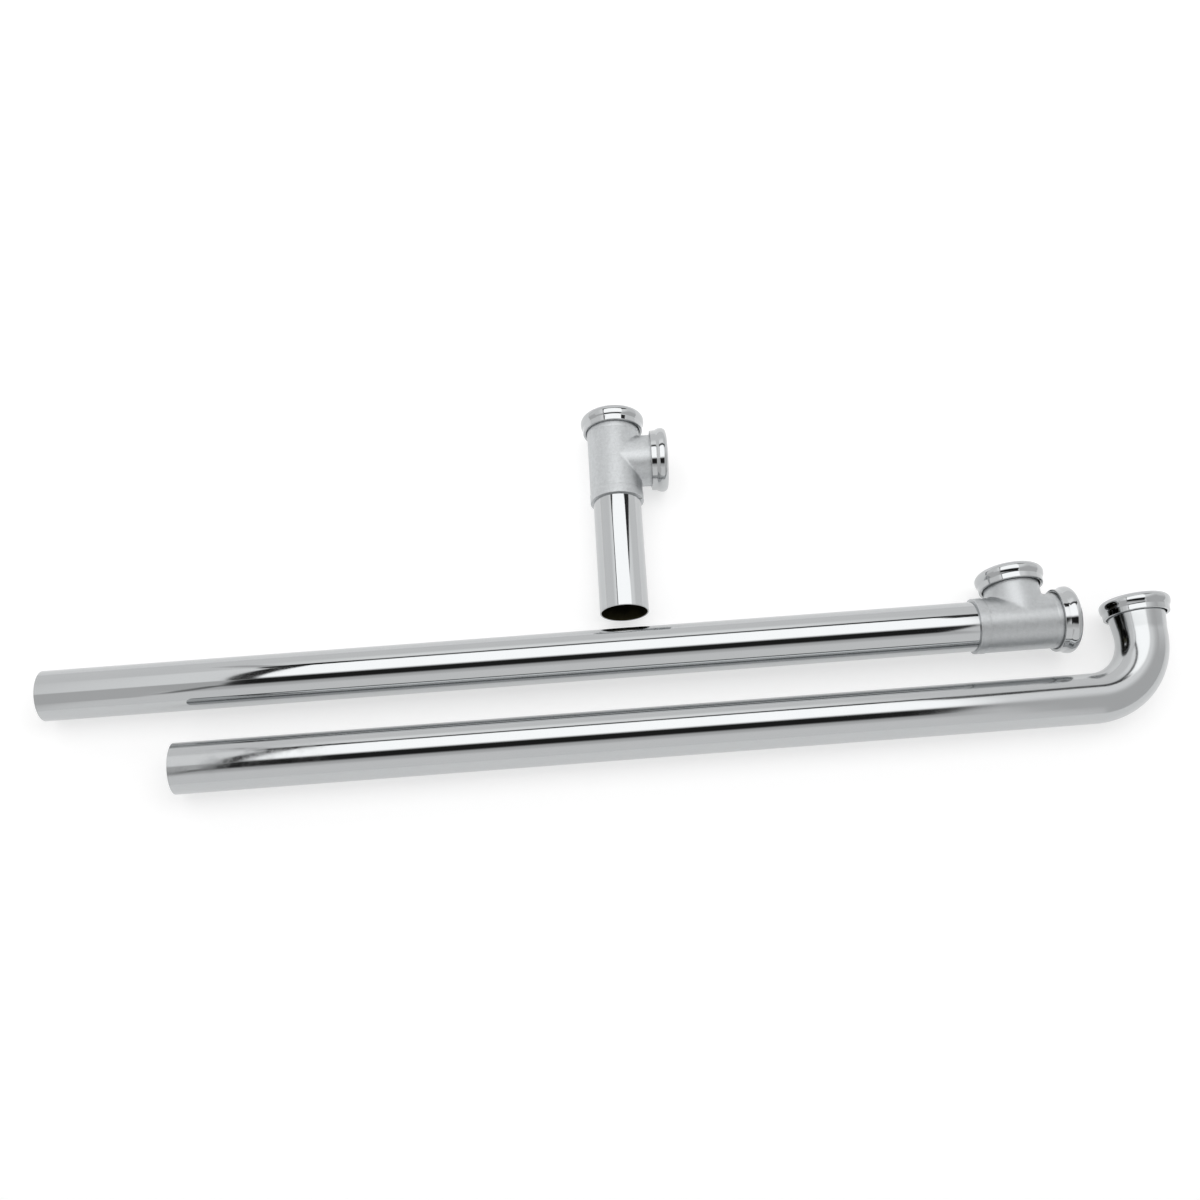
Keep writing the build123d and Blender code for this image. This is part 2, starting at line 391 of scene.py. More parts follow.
CHROME_TONES = (0.486, 0.499, 0.507), (0.508, 0.518, 0.523)
CHROME_SHINE = (0.035, 0.075)
FILM_SCALE = 45
WAVE_STRENGTH = 0.12


def polished(name, wave_scale, wave_depth, wear=None):
    """Chrome with waves of 1 / wave_scale metres, and roughness that a function of its tree may add."""
    material, tree, output = new_material(name)
    film = object_noise(tree, FILM_SCALE, 4).outputs[0]
    waves = object_noise(tree, wave_scale, 1).outputs[0]
    bump = add_node(tree, "ShaderNodeBump", Strength=WAVE_STRENGTH, Distance=wave_depth, Height=waves)
    roughness = ramped(tree, film, *CHROME_SHINE)
    if wear:
        roughness = maths(tree, "ADD", roughness, wear(tree))
    shader = add_node(
        tree, "ShaderNodeBsdfPrincipled", Metallic=1.0,
        Base_Color=tinted(tree, film, *CHROME_TONES),
        Roughness=roughness,
        Normal=bump.outputs[0],
    )
    tree.links.new(shader.outputs[0], output.inputs["Surface"])
    return material


TUBE_WAVES = (14, 0.6 * MM)
NUT_WAVES = (75, 0.35 * MM)
chrome = polished("mirror_chrome", *TUBE_WAVES)
nut_chrome = polished("nut_chrome", *NUT_WAVES)
print("materials:", chrome.name, nut_chrome.name)

# %% [markdown]
# The tees are cast and plated without polishing. Their skin is satin, with the grain of the
# sand, pits and a slight unevenness. Grain and pits go into the bump as well as the
# colour, so that they catch the light as real ones do. The pits' darker colour is painted shade in them.
# The outlet tee came out of a finer sand than the middle one, so the size of the mottling and the depth of the
# pits are arguments.

# %% Cast and plated skin
GRAIN_SCALE = 1500
PIT_EDGE = (0.06, 0.15)
RELIEF = 0.3 * MM


def cast_skin(name, mottle_scale, pit_scale, bite, shine, tones):
    """Cast and plated skin with mottling and pits of 1 / scale metres, cut in by a strength."""
    material, tree, output = new_material(name)
    grain = object_noise(tree, GRAIN_SCALE, 3, 0.6).outputs[0]
    mottle = object_noise(tree, mottle_scale, 4, 0.6).outputs[0]
    where = add_node(tree, "ShaderNodeTexCoord").outputs["Object"]
    cells = add_node(tree, "ShaderNodeTexVoronoi", Vector=where, Scale=pit_scale).outputs["Distance"]
    pits = step_mask(tree, cells, *PIT_EDGE)
    height = maths(tree, "MULTIPLY", grain, 0.5)
    height = maths(tree, "ADD", height, maths(tree, "MULTIPLY", mottle, 0.8))
    height = maths(tree, "ADD", height, maths(tree, "MULTIPLY", pits, 0.25))
    bump = add_node(tree, "ShaderNodeBump", Strength=bite, Distance=RELIEF, Height=height)
    speckle = maths(tree, "MULTIPLY", maths(tree, "ADD", grain, mottle), 0.5)
    tone = ramped(tree, speckle, 0.0, 1.0, 0.33, 0.67)
    # The pits darken the colour: painted shade in the small recesses.
    tone = maths(tree, "MULTIPLY", tone, ramped(tree, pits, 0.4, 1.0, 0.0, 1.0))
    shader = add_node(
        tree, "ShaderNodeBsdfPrincipled", Metallic=1.0,
        Base_Color=tinted(tree, tone, *tones),
        Roughness=ramped(tree, mottle, *shine),
        Normal=bump.outputs[0],
    )
    tree.links.new(shader.outputs[0], output.inputs["Surface"])
    return material


FINE_TONES = (0.485, 0.498, 0.506), (0.650, 0.668, 0.678)
COARSE_TONES = (0.470, 0.483, 0.491), (0.590, 0.606, 0.616)
fine_cast = cast_skin(
    "fine_cast_skin", mottle_scale=420, pit_scale=330, bite=0.22, shine=(0.43, 0.52), tones=FINE_TONES,
)
coarse_cast = cast_skin(
    "coarse_cast_skin", mottle_scale=330, pit_scale=240, bite=0.30, shine=(0.38, 0.48), tones=COARSE_TONES,
)
print("materials:", fine_cast.name, coarse_cast.name)

# %% [markdown]
# Inside, the brass was never plated. It is dull and olive. Its colour is darkened to near black,
# which is painted shade in the bore, so that a tube's mouth looks nearly black. The washers are black rubber with
# a fine bloom.

# %% Bare brass with painted bore shade, and rubber
brass_and_bore_shade, tree, output = new_material("brass_with_painted_bore_shade")
stain = object_noise(tree, 120, 4).outputs[0]
shader = add_node(
    tree, "ShaderNodeBsdfPrincipled", Metallic=1.0,
    # Near-black tones: painted shade in the bore, over the olive of bare brass.
    Base_Color=tinted(tree, stain, (0.050, 0.046, 0.024), (0.095, 0.086, 0.048)),
    Roughness=ramped(tree, stain, 0.42, 0.6),
)
tree.links.new(shader.outputs[0], output.inputs["Surface"])

rubber, tree, output = new_material("black_rubber")
bloom = object_noise(tree, 900, 4).outputs[0]
bump = add_node(tree, "ShaderNodeBump", Strength=0.3, Distance=0.1 * MM, Height=bloom)
shader = add_node(
    tree, "ShaderNodeBsdfPrincipled",
    Base_Color=tinted(tree, bloom, (0.018, 0.018, 0.018), (0.04, 0.04, 0.038)),
    Roughness=ramped(tree, bloom, 0.55, 0.75),
    Normal=bump.outputs[0],
)
tree.links.new(shader.outputs[0], output.inputs["Surface"])
print("materials:", brass_and_bore_shade.name, rubber.name)

# %% [markdown]
# Nearly every piece here was turned or drawn, so it has a section that goes round an axis. By
# hand one would draw half the section with extruded points, round its corners, and spin it.
# These helpers do that about the X axis.

# %% Lathe helpers
ROUND_STEPS = 160
MERGE = 1e-7
TOUCH = 1e-3 * MM


def start_point(name):
    """New object in edit mode that holds one selected vertex at the origin."""
    bpy.ops.object.select_all(action="DESELECT")
    bpy.ops.mesh.primitive_plane_add(size=MM)
    piece = bpy.context.object
    piece.name = name
    bpy.ops.object.mode_set(mode="EDIT")
    bpy.ops.mesh.select_mode(type="VERT")
    bpy.ops.mesh.select_all(action="SELECT")
    bpy.ops.mesh.merge(type="CENTER")
    return piece


def draw_section(points):
    """Extrudes the selected vertex from point to point of a half section of (along, radius)."""
    bpy.ops.transform.translate(value=(points[0][0], 0, points[0][1]))
    for (a, r), (b, s) in zip(points, points[1:]):
        bpy.ops.mesh.extrude_region_move(TRANSFORM_OT_translate={"value": (b - a, 0, s - r)})


def select_vertices(piece, wanted):
    """Selects, in edit mode, the vertices whose place passes a test."""
    bpy.ops.mesh.select_mode(type="VERT")
    bpy.ops.mesh.select_all(action="DESELECT")
    bpy.ops.object.mode_set(mode="OBJECT")
    for vertex in piece.data.vertices:
        vertex.select = wanted(vertex.co)
    bpy.ops.object.mode_set(mode="EDIT")


def round_corners(piece, corners, size, segments=4):
    """Rounds the drawn section at the given (along, radius) corners."""
    def is_corner(co):
        return any(abs(co.x - a) < TOUCH and abs(co.z - r) < TOUCH for a, r in corners)
    select_vertices(piece, is_corner)
    bpy.ops.mesh.bevel(offset=size, segments=segments, affect="VERTICES")


def spin_round(piece, steps=ROUND_STEPS):
    """Spins the section about X, closes the seam and turns the faces outwards."""
    bpy.ops.mesh.select_all(action="SELECT")
    bpy.ops.mesh.spin(steps=steps, angle=2 * math.pi, center=(0, 0, 0), axis=(1, 0, 0))
    bpy.ops.mesh.select_all(action="SELECT")
    bpy.ops.mesh.remove_doubles(threshold=MERGE)
    bpy.ops.mesh.normals_make_consistent(inside=False)
    bpy.ops.object.mode_set(mode="OBJECT")


def lathe(name, points, rounded=(), steps=ROUND_STEPS):
    """Turned piece from a half section, with groups of (size, corners) to round."""
    piece = start_point(name)
    draw_section(points)
    bpy.ops.mesh.select_all(action="SELECT")
    bpy.ops.mesh.remove_doubles(threshold=MERGE)
    for size, corners in rounded:
        round_corners(piece, corners, size)
    spin_round(piece, steps)
    return piece


print("lathe helpers ready, steps round:", ROUND_STEPS)

# %% [markdown]
# Every piece is then set in its place. The place goes into the mesh, so that the object itself
# stays at the origin, as the CAD nodes do. Modifiers are applied as soon as they are added.
# Smooth shading is weighted by face area, because a long tube wall should stay true beside
# a small rounded edge.

# %% Placing and shading helpers
def set_at(piece, matrix):
    """Moves a piece to its place and puts that place into its mesh."""
    bpy.ops.object.select_all(action="DESELECT")
    piece.select_set(True)
    bpy.context.view_layer.objects.active = piece
    piece.matrix_world = matrix
    bpy.ops.object.transform_apply(location=True, rotation=True, scale=True)


def modified(piece, kind, **settings):
    """Adds a modifier to a piece and applies it."""
    bpy.ops.object.select_all(action="DESELECT")
    piece.select_set(True)
    bpy.context.view_layer.objects.active = piece
    modifier = piece.modifiers.new(kind.lower(), kind)
    for name, value in settings.items():
        setattr(modifier, name, value)
    bpy.ops.object.modifier_apply(modifier=modifier.name)


def smooth_shaded(piece, degrees=35):
    """Smooth shading that keeps sharp edges, and keeps large faces true beside small rounded ones."""
    bpy.ops.object.select_all(action="DESELECT")
    piece.select_set(True)
    bpy.context.view_layer.objects.active = piece
    bpy.ops.object.shade_smooth_by_angle(angle=math.radians(degrees))
    modified(piece, "WEIGHTED_NORMAL", mode="FACE_AREA", keep_sharp=True)


def copy_of(piece, name):
    """Copy with a mesh of its own."""
    twin = piece.copy()
    twin.data = piece.data.copy()
    twin.name = name
    bpy.context.scene.collection.objects.link(twin)
    return twin


def dress(piece, body, node):
    """Rides a finished piece on its body in place of its CAD node."""
    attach(piece, body)
    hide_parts(node)
    print(piece.name, "faces:", len(piece.data.polygons))


print("placing helpers ready")

# %% [markdown]
# A finish is assigned to faces, so the bore of a tube can be bare brass, darkened with painted
# shade, while its outside is chrome. In edit mode the faces are picked by their place and given the second slot.

# %% Two finishes on one piece
def finish_inside(piece, outside, inside, is_inside):
    """Gives a piece two finishes: the second one on faces whose centre passes a test."""
    piece.data.materials.append(outside)
    piece.data.materials.append(inside)
    bpy.ops.object.select_all(action="DESELECT")
    piece.select_set(True)
    bpy.context.view_layer.objects.active = piece
    bpy.ops.object.mode_set(mode="EDIT")
    bpy.ops.mesh.select_mode(type="FACE")
    bpy.ops.mesh.select_all(action="DESELECT")
    bpy.ops.object.mode_set(mode="OBJECT")
    for face in piece.data.polygons:
        face.select = is_inside(face.center)
    bpy.ops.object.mode_set(mode="EDIT")
    piece.active_material_index = 1
    bpy.ops.object.material_slot_assign()
    bpy.ops.object.mode_set(mode="OBJECT")


print("finish helper ready")

# %% [markdown]
# The straight tubes are drawn brass with a wall of little more than a millimetre. One end is
# cut square, and its edges are just broken. The other is sized down and soldered into the tee,
# so its section has a small step there.

# %% Straight tubes
TUBE_R = 19.05 * MM
TUBE_BORE_R = 17.9 * MM
SPIGOT_R = 18.8 * MM
SOCKET_REACH = 35.75 * MM
SEAT_REACH = 19.6 * MM
SOLDER_GAP = 0.05 * MM
EDGE_BREAK = 0.2 * MM


def soldered_tube(name, length):
    """Tube along +X from its free end at the origin."""
    tip = length + SOCKET_REACH - SEAT_REACH - SOLDER_GAP
    free_end = [(0, TUBE_BORE_R), (0, TUBE_R)]
    section = free_end + [
        (length, TUBE_R),
        (length, SPIGOT_R),
        (tip, SPIGOT_R),
        (tip, TUBE_BORE_R),
        (0, TUBE_BORE_R),
    ]
    piece = lathe(name, section, [(EDGE_BREAK, free_end)])
    middle_wall = (TUBE_R + TUBE_BORE_R) / 2
    finish_inside(piece, chrome, brass_and_bore_shade, lambda c: c.yz.length < middle_wall and c.x > EDGE_BREAK)
    smooth_shaded(piece)
    return piece


TUBES = {
    "outlet_tail": (93.4 * MM, outlet_place),
    "middle_tube": (702.4 * MM, middle_place),
}
for name, (length, tee) in TUBES.items():
    tube = soldered_tube(f"{name}_dressed", length)
    set_at(tube, tee @ Matrix.Translation((-length - SOCKET_REACH, 0, 0)))
    dress(tube, "fittings", name)

# %% [markdown]
# The end arm is one tube, bent and belled. Spinning a section doesn't fit a bend, so this piece
# starts as a ring at the free end. The ring is extruded along the arm, spun round the bend,
# and then extruded and scaled step by step through the bell, over the rim and back inside. The
# tool that opened the bell left a few faint rings on it, which are shallow grooves in the path.

# %% Steps of the bent tube
END_LENGTH = 683.5 * MM
BEND_STEPS = 56
BACK_TURN = math.pi / 2  # the spin operator turns clockwise about +Z
SLIP_R = 19.25 * MM
BELL_R = 20.55 * MM
BELL_EASE = 1.8 * MM
BELL_TAPER = BELL_REACH - BELL_EASE
BELL_SEAT = 10 * MM
EASE_STEPS = 10
TOOL_RINGS = (8.6 * MM, 9.9 * MM, 10.7 * MM, 11.9 * MM, 12.6 * MM)
RING_WIDTH = 0.3 * MM
RING_DEPTH = 0.008 * MM
THREAD_ROOT_R = 20.5 * MM
THREAD_START = 0.8 * MM
THREAD_LENGTH = 7 * MM
RIM_CHAMFER = 0.5 * MM
RIM_SINK = 1.2 * MM
RIM_EDGE = 0.35 * MM


def extrude_ring(shift):
    """Extrudes the selected ring by a vector."""
    bpy.ops.mesh.extrude_region_move(TRANSFORM_OT_translate={"value": shift})


def extrude_rings_y(origin_x, path):
    """Extrudes the selected ring along +Y through (along, radius) steps, scaling it as it goes."""
    for (a, r), (b, s) in zip(path, path[1:]):
        extrude_ring((0, b - a, 0))
        if s != r:
            bpy.ops.transform.resize(value=(s / r,) * 3, center_override=(origin_x, b, 0))


def spin_ring(angle):
    """Carries the selected ring round the bend."""
    bpy.ops.mesh.spin(steps=BEND_STEPS, angle=angle, center=(0, BEND_RADIUS, 0), axis=(0, 0, 1))


def bell_path(start):
    """Steps of the bell's outside: the curve out of the tube, the taper and its tool rings."""
    slope = math.atan2(BELL_R - TUBE_R, BELL_TAPER)
    curve_r = BELL_EASE / math.tan(slope / 2)
    steps = []
    for i in range(EASE_STEPS + 1):
        a = slope * i / EASE_STEPS
        steps.append((start + curve_r * math.sin(a), TUBE_R + curve_r * (1 - math.cos(a))))
    for along in TOOL_RINGS:
        for shift, depth in ((-RING_WIDTH, 0), (0, RING_DEPTH), (RING_WIDTH, 0)):
            rise = (along + shift - BELL_EASE) * math.tan(slope)
            steps.append((start + along + shift, TUBE_R + rise - depth))
    return steps + [(start + BELL_EASE + BELL_TAPER, BELL_R)]


print("steps along the bell:", len(bell_path(0)))

# %% Bent tube
bpy.ops.object.select_all(action="DESELECT")
bpy.ops.mesh.primitive_circle_add(vertices=ROUND_STEPS, radius=TUBE_R, rotation=(0, math.pi / 2, 0))
elbow = bpy.context.object
elbow.name = "end_elbow_tube_dressed"
bpy.ops.object.transform_apply(location=True, rotation=True, scale=True)
bpy.ops.object.mode_set(mode="EDIT")
bpy.ops.mesh.select_mode(type="VERT")
bpy.ops.mesh.select_all(action="SELECT")
bpy.ops.transform.translate(value=(EDGE_BREAK - END_LENGTH, 0, 0))
extrude_ring((END_LENGTH - EDGE_BREAK, 0, 0))
spin_ring(-BACK_TURN)

start = BEND_RADIUS
rim = start + BELL_REACH + THREAD_LENGTH
neck_end = start + BELL_REACH + THREAD_START
path = bell_path(start) + [
    (neck_end, BELL_R),
    (neck_end, THREAD_ROOT_R),
    (rim - RIM_CHAMFER, THREAD_ROOT_R),
    (rim, THREAD_ROOT_R - RIM_CHAMFER),
    (rim, SLIP_R + RIM_SINK - RIM_EDGE),
    (rim - RIM_SINK, SLIP_R),
    (start + BELL_SEAT, SLIP_R),
    (start + BELL_SEAT, TUBE_BORE_R),
    (start, TUBE_BORE_R),
]
extrude_rings_y(BEND_RADIUS, path)
spin_ring(BACK_TURN)
extrude_ring((EDGE_BREAK - END_LENGTH, 0, 0))
free_end = [
    (EDGE_BREAK, TUBE_BORE_R),
    (0, TUBE_BORE_R + EDGE_BREAK),
    (0, TUBE_R - EDGE_BREAK),
    (EDGE_BREAK, TUBE_R),
]
for (a, r), (b, s) in zip(free_end, free_end[1:]):
    extrude_ring((b - a, 0, 0))
    bpy.ops.transform.resize(value=(s / r,) * 3, center_override=(b - END_LENGTH, 0, 0))
bpy.ops.mesh.select_all(action="SELECT")
bpy.ops.mesh.remove_doubles(threshold=TOUCH)
bpy.ops.mesh.normals_make_consistent(inside=False)
bpy.ops.object.mode_set(mode="OBJECT")
print("bent tube box in mm:", [round(v / MM, 1) for v in elbow.dimensions])


# %% [markdown]
# The bend was polished by hand after bending, so it is more satin than the drawn arm. The arm's
# free end has been handled and is scuffed. Both go into the roughness, by the place along X.

# %% Finish of the bent tube
SATIN = (0.10, 0.30, 0.085)  # start and end of the change along X in metres, and roughness
SCUFF = (-0.14, -0.24, 0.13)


def arm_wear(tree):
    """Roughness that the bend's polish and the scuffs at the free end add to the chrome."""
    where = add_node(tree, "ShaderNodeTexCoord").outputs["Object"]
    along = add_node(tree, "ShaderNodeSeparateXYZ", Vector=where).outputs["X"]
    satin = maths(tree, "MULTIPLY", step_mask(tree, along, *SATIN[:2]), SATIN[2])
    marks = ramped(tree, object_noise(tree, 70, 5, 0.7).outputs[0], 0.15, 1.0, 0.42, 0.66)
    scuffs = maths(tree, "MULTIPLY", marks, step_mask(tree, along, *SCUFF[:2]))
    return maths(tree, "ADD", satin, maths(tree, "MULTIPLY", scuffs, SCUFF[2]))


arm_chrome = polished("arm_chrome", *TUBE_WAVES, arm_wear)


def in_bore(c):
    """True inside the bent tube, by the distance from its centre line."""
    if c.x < 0:
        return Vector((c.y, c.z)).length < (TUBE_R + TUBE_BORE_R) / 2 and c.x > -END_LENGTH + EDGE_BREAK
    if c.y < BEND_RADIUS:
        reach = Vector((c.x, c.y - BEND_RADIUS)).length - BEND_RADIUS
        return Vector((reach, c.z)).length < (TUBE_R + TUBE_BORE_R) / 2
    wall = TUBE_BORE_R if c.y < BEND_RADIUS + BELL_SEAT - EDGE_BREAK else SLIP_R
    return Vector((c.x - BEND_RADIUS, c.z)).length < wall + EDGE_BREAK


finish_inside(elbow, arm_chrome, brass_and_bore_shade, in_bore)
smooth_shaded(elbow)
set_at(elbow, end_place)
dress(elbow, "fittings", "end_elbow_tube")

# %% [markdown]
# A slip nut is a round ring of brass with a band behind, which narrows a little to the back, and
# a wider dome in front. Its section has the inner shoulder that pulls the washer down. Every
# corner is polished round, also the crease between band and dome.

# %% Slip nut
NUT_DEPTH = 10.0 * MM
NUT_BORE_R = 21.7 * MM
NUT_MOUTH_R = 19.6 * MM
NUT_BACK_R = 23.9 * MM
NUT_BAND_R = 24.2 * MM
NUT_BAND = 4.4 * MM
NUT_CROWN_R = 25.7 * MM
NUT_CROWN = 9.2 * MM
NUT_FACE_R = 21.4 * MM
CREASE_ROUND = 0.5 * MM
NUT_ROUND = 0.6 * MM
NUT_SMOOTH = 40  # degrees, so that the crease stays soft
DOME_STEPS = 7
FRONT_STEPS = 14

dome_reach = NUT_CROWN - NUT_BAND
dome_rise = NUT_CROWN_R - NUT_BAND_R
dome_r = (dome_reach**2 + dome_rise**2) / (2 * dome_rise)
dome_angle = math.asin(dome_reach / dome_r)
dome = []
for i in range(DOME_STEPS):
    a = dome_angle * (1 - i / DOME_STEPS)
    dome.append((NUT_CROWN - dome_r * math.sin(a), NUT_CROWN_R - dome_r * (1 - math.cos(a))))
front_round = []
for i in range(FRONT_STEPS + 1):
    a = math.pi / 2 * i / FRONT_STEPS
    front_round.append((
        NUT_CROWN + (NUT_HEIGHT - NUT_CROWN) * math.sin(a),
        NUT_FACE_R + (NUT_CROWN_R - NUT_FACE_R) * math.cos(a),
    ))
back_corners = [(0, NUT_BORE_R), (0, NUT_BACK_R)]
mouth_corner = (NUT_HEIGHT, NUT_MOUTH_R)
section = back_corners + dome + front_round + [
    mouth_corner,
    (NUT_DEPTH, NUT_MOUTH_R),
    (NUT_DEPTH, NUT_BORE_R),
    (0, NUT_BORE_R),
]
nut = lathe("slip_nut", section, [
    (NUT_ROUND, back_corners),
    (CREASE_ROUND, dome[:1]),
    (NUT_ROUND, [mouth_corner]),
])
nut.data.materials.append(nut_chrome)
smooth_shaded(nut, NUT_SMOOTH)

for end in ENDS:
    twin = copy_of(nut, f"{end}_nut_dressed")
    set_at(twin, nut_places[end])
    dress(twin, f"{end}_nut", f"{end}_nut")
bpy.data.objects.remove(nut)

# %% [markdown]
# The slip washer sits between the nut's shoulder and the rim. Its bevelled nose is pressed into
# the countersunk rim and on to the tube.

# %% Slip washer
WASHER_R = 21.4 * MM
WASHER_BORE_R = 19.45 * MM
WASHER_NOSE = 0.35 * MM
WASHER_GAP = 0.02 * MM
WASHER_ROUND = 0.2 * MM
WASHER_STEPS = 96

bevel_tip = THREAD_LENGTH + math.sqrt(2) * WASHER_GAP - SLIP_R - RIM_SINK
front = NUT_DEPTH - WASHER_GAP
nose_r = WASHER_BORE_R + WASHER_NOSE
washer_corners = [(front, WASHER_BORE_R), (front, WASHER_R), (bevel_tip + WASHER_R, WASHER_R)]
section = washer_corners + [
    (bevel_tip + nose_r, nose_r),
    (bevel_tip + nose_r, WASHER_BORE_R),
    (front, WASHER_BORE_R),
]
washer = lathe("slip_washer", section, [(WASHER_ROUND, washer_corners)], WASHER_STEPS)
washer.data.materials.append(rubber)
smooth_shaded(washer)

for end in ENDS:
    twin = copy_of(washer, f"{end}_washer_dressed")
    set_at(twin, nut_places[end])
    dress(twin, f"{end}_washer", f"{end}_washer")
bpy.data.objects.remove(washer)

# %% [markdown]
# The tee is the casting. Two turned bars are joined, and a voxel remesh turns them into one
# even skin, in which the crease between run and branch can be smoothed like the fillet of a
# real casting. The crease is crisp on the outlet tee and softer on the middle one, so the
# number of smoothing passes is an argument.

# %% Tee skin
TEE_R = 20.9 * MM
BRANCH_R = 20.5 * MM
RUN_BAR = (-29.75 * MM, 23.9 * MM)
BRANCH_BAR = (0, 28.3 * MM)
VOXEL = 0.6 * MM
SADDLE_WIDTH = 5 * MM
to_branch = Matrix.Rotation(math.pi / 2, 4, "Z")


def bar(name, ends, radius):
    """Solid turned bar along +X."""
    start, end = ends
    return lathe(name, [(start, 0), (start, radius), (end, radius), (end, 0)])


def join_on(piece, tool, operation="UNION"):
    """Boolean of a piece with a tool, which is then deleted."""
    modified(piece, "BOOLEAN", operation=operation, object=tool, solver="EXACT")
    bpy.data.objects.remove(tool)


def tee_skin(name, passes):
    """Run and branch in one skin, with the crease between them smoothed."""
    body = bar(name, RUN_BAR, TEE_R)
    branch = bar("branch", BRANCH_BAR, BRANCH_R)
    set_at(branch, to_branch)
    join_on(body, branch)
    modified(body, "REMESH", mode="VOXEL", voxel_size=VOXEL, adaptivity=0.0)
    saddle = body.vertex_groups.new(name="saddle")
    for vertex in body.data.vertices:
        run_gap = abs(Vector((vertex.co.y, vertex.co.z)).length - TEE_R)
        branch_gap = abs(Vector((vertex.co.x, vertex.co.z)).length - BRANCH_R)
        weight = 1 - max(run_gap, branch_gap) / SADDLE_WIDTH
        if weight > 0 and vertex.co.y > 0:
            saddle.add([vertex.index], min(1.0, 2 * weight), "REPLACE")
    modified(body, "SMOOTH", factor=0.5, iterations=passes, vertex_group="saddle")
    return body


TEE_PASSES = {"outlet_tee": 12, "middle_tee": 40}
tees = {name: tee_skin(f"{name}_dressed", passes) for name, passes in TEE_PASSES.items()}
for name, tee in tees.items():
    print(name, "skin faces:", len(tee.data.polygons))

# %% [markdown]
# The collar of the run, the threads' cores and the band of the soldered socket were turned
# crisp, so they are lathed and joined on after the skin. The hollows are cut last.

# %% Necks, band and hollows
COLLAR_R = 21.25 * MM
COLLAR_START = 23.8 * MM
COLLAR_EASE = 0.8 * MM
PLAIN_NECK = 27.9 * MM
PLAIN_PROUD = 0.03 * MM
BAND_R = 21.25 * MM
BAND_END = -28.95 * MM
BAND_EASE = 1.0 * MM
BAND_ROUND = 0.4 * MM
RUN_WATER_R = 18.1 * MM
BRANCH_WATER_R = 17.7 * MM


def neck(name, back, outside):
    """Solid of a slip end along +X: its outside as (along, radius) steps, then the thread's core."""
    shoulder = back + THREAD_START
    rim = back + THREAD_LENGTH
    along, radius = outside[0]
    return lathe(name, [
        (along - MM, 0),
        (along - MM, radius - MM),
        *outside,
        (shoulder, outside[-1][1]),
        (shoulder, THREAD_ROOT_R),
        (rim - RIM_CHAMFER, THREAD_ROOT_R),
        (rim, THREAD_ROOT_R - RIM_CHAMFER),
        (rim, 0),
    ])


def socket_band():
    """Solid of the band round the soldered socket."""
    corner = (-SOCKET_REACH, BAND_R)
    return lathe("socket_band", [
        (-SOCKET_REACH, 0),
        corner,
        (BAND_END, BAND_R),
        (BAND_END + BAND_EASE, TEE_R),
        (BAND_END + 2 * BAND_EASE, TEE_R - MM),
        (BAND_END + 2 * BAND_EASE, 0),
    ], [(BAND_ROUND, [corner])])


def hollow(name, start, water_r, back, solder=None):
    """Solid of the space inside a run or branch, along +X."""
    rim = back + THREAD_LENGTH
    section = [(start, 0), (start, water_r)]
    if solder:
        section = [(start, 0), (start, solder), (-SEAT_REACH, solder), (-SEAT_REACH, water_r)]
    return lathe(name, section + [
        (SEAT_REACH, water_r),
        (SEAT_REACH, SLIP_R),
        (rim - RIM_SINK, SLIP_R),
        (rim + MM, SLIP_R + RIM_SINK + MM),
        (rim + MM, 0),
    ])


for name, tee in tees.items():
    collar = [(COLLAR_START - COLLAR_EASE, TEE_R), (COLLAR_START, COLLAR_R)]
    join_on(tee, neck("run_neck", RUN_REACH, collar))
    branch_neck = neck("branch_neck", BRANCH_REACH, [(PLAIN_NECK, BRANCH_R + PLAIN_PROUD)])
    set_at(branch_neck, to_branch)
    join_on(tee, branch_neck)
    join_on(tee, socket_band())
    run_hollow = hollow("run_hollow", -SOCKET_REACH - MM, RUN_WATER_R, RUN_REACH, SPIGOT_R + SOLDER_GAP)
    join_on(tee, run_hollow, "DIFFERENCE")
    branch_hollow = hollow("branch_hollow", 0, BRANCH_WATER_R, BRANCH_REACH)
    set_at(branch_hollow, to_branch)
    join_on(tee, branch_hollow, "DIFFERENCE")
    print(name, "faces:", len(tee.data.polygons), "vertices:", len(tee.data.vertices))


# %% Finish of the tees
TEE_FINISH = {"outlet_tee": (outlet_place, fine_cast), "middle_tee": (middle_place, coarse_cast)}
WALL_MARGIN = 0.3 * MM


def in_tee(c):
    """True on the walls of the hollows inside a tee."""
    run_r, branch_r = Vector((c.y, c.z)).length, Vector((c.x, c.z)).length
    past_run = c.y > TEE_R
    return (branch_r if past_run else run_r) < SLIP_R + WALL_MARGIN


for name, (where, skin) in TEE_FINISH.items():
    finish_inside(tees[name], skin, brass_and_bore_shade, in_tee)
    smooth_shaded(tees[name])
    set_at(tees[name], where)
    dress(tees[name], "fittings", name)

# %% [markdown]
# The slip threads show as soon as a nut is backed off. A thread is one ridge that climbs round
# its core, so its section is drawn once and a Screw modifier carries it round. The ridge is
# a piece of its own on each of the five ends, and its foot is sunk into the core.

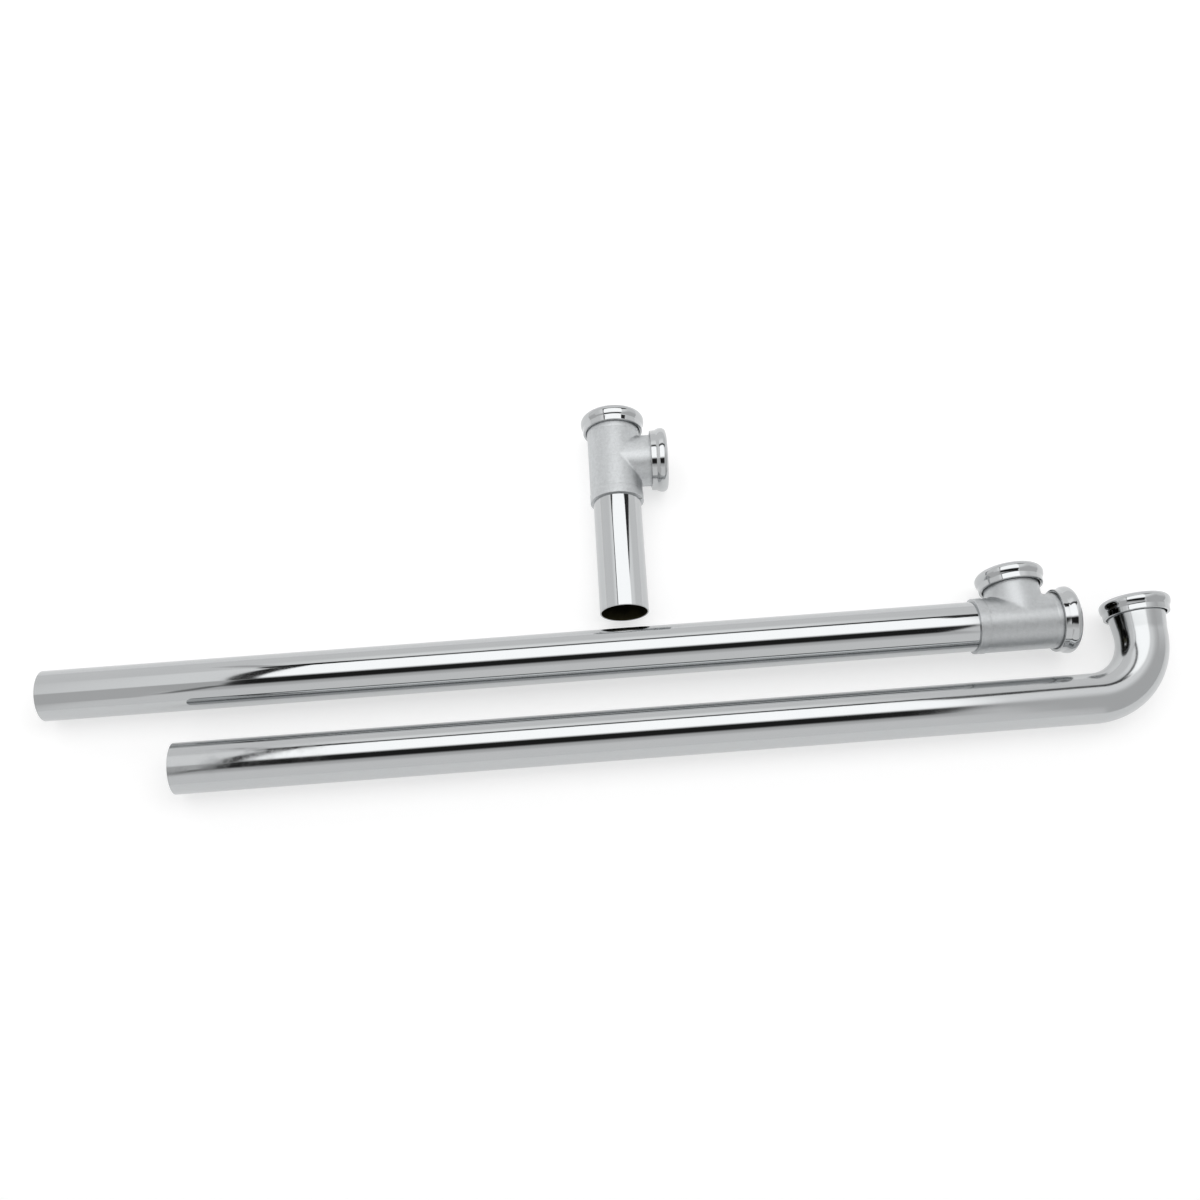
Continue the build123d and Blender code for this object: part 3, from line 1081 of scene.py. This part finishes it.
# %% Slip threads
PITCH = 25.4 / 11.5 * MM
THREAD_TURNS = 1.86
THREAD_TIP_R = 21.45 * MM
RIDGE_START = 1.65 * MM
RIDGE_FOOT = 0.85 * MM
RIDGE_FLAT = 0.2 * MM
RIDGE_SINK = 0.1 * MM
RIDGE_STEPS = 240

foot_r = THREAD_ROOT_R - RIDGE_SINK
ridge = start_point("slip_thread")
draw_section([
    (RIDGE_START - RIDGE_FOOT, foot_r),
    (RIDGE_START - RIDGE_FLAT, THREAD_TIP_R),
    (RIDGE_START + RIDGE_FLAT, THREAD_TIP_R),
    (RIDGE_START + RIDGE_FOOT, foot_r),
    (RIDGE_START - RIDGE_FOOT, foot_r),
])
bpy.ops.mesh.select_all(action="SELECT")
bpy.ops.mesh.remove_doubles(threshold=TOUCH)
bpy.ops.object.mode_set(mode="OBJECT")
modified(
    ridge, "SCREW", axis="X", angle=2 * math.pi * THREAD_TURNS, screw_offset=PITCH * THREAD_TURNS,
    steps=RIDGE_STEPS, render_steps=RIDGE_STEPS,
)
bpy.ops.object.mode_set(mode="EDIT")
bpy.ops.mesh.select_all(action="SELECT")
bpy.ops.mesh.fill_holes(sides=0)
bpy.ops.mesh.select_all(action="SELECT")
bpy.ops.mesh.normals_make_consistent(inside=False)
bpy.ops.object.mode_set(mode="OBJECT")
smooth_shaded(ridge)
print("slip thread faces:", len(ridge.data.polygons))
print("slip thread box in mm:", [round(v / MM, 2) for v in ridge.dimensions])

THREAD_FINISH = {
    "outlet_top": (fine_cast, "cast_plated"),
    "outlet_side": (fine_cast, "cast_plated"),
    "middle_branch": (coarse_cast, "cast_plated"),
    "middle_run": (coarse_cast, "cast_plated"),
    "end": (arm_chrome, "polished_chrome"),
}
for end, (finish, slot) in THREAD_FINISH.items():
    twin = copy_of(ridge, f"{end}_slip_thread")
    twin.data.materials.append(finish)
    set_at(twin, nut_places[end])
    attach(twin, "fittings")
bpy.data.objects.remove(ridge)

# %% Boxes of the CAD and of the dressed set
sizes = {"cad": [list(v) for v in cad_box], "visual": [list(v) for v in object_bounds()]}
print("visual box:", sizes["visual"])
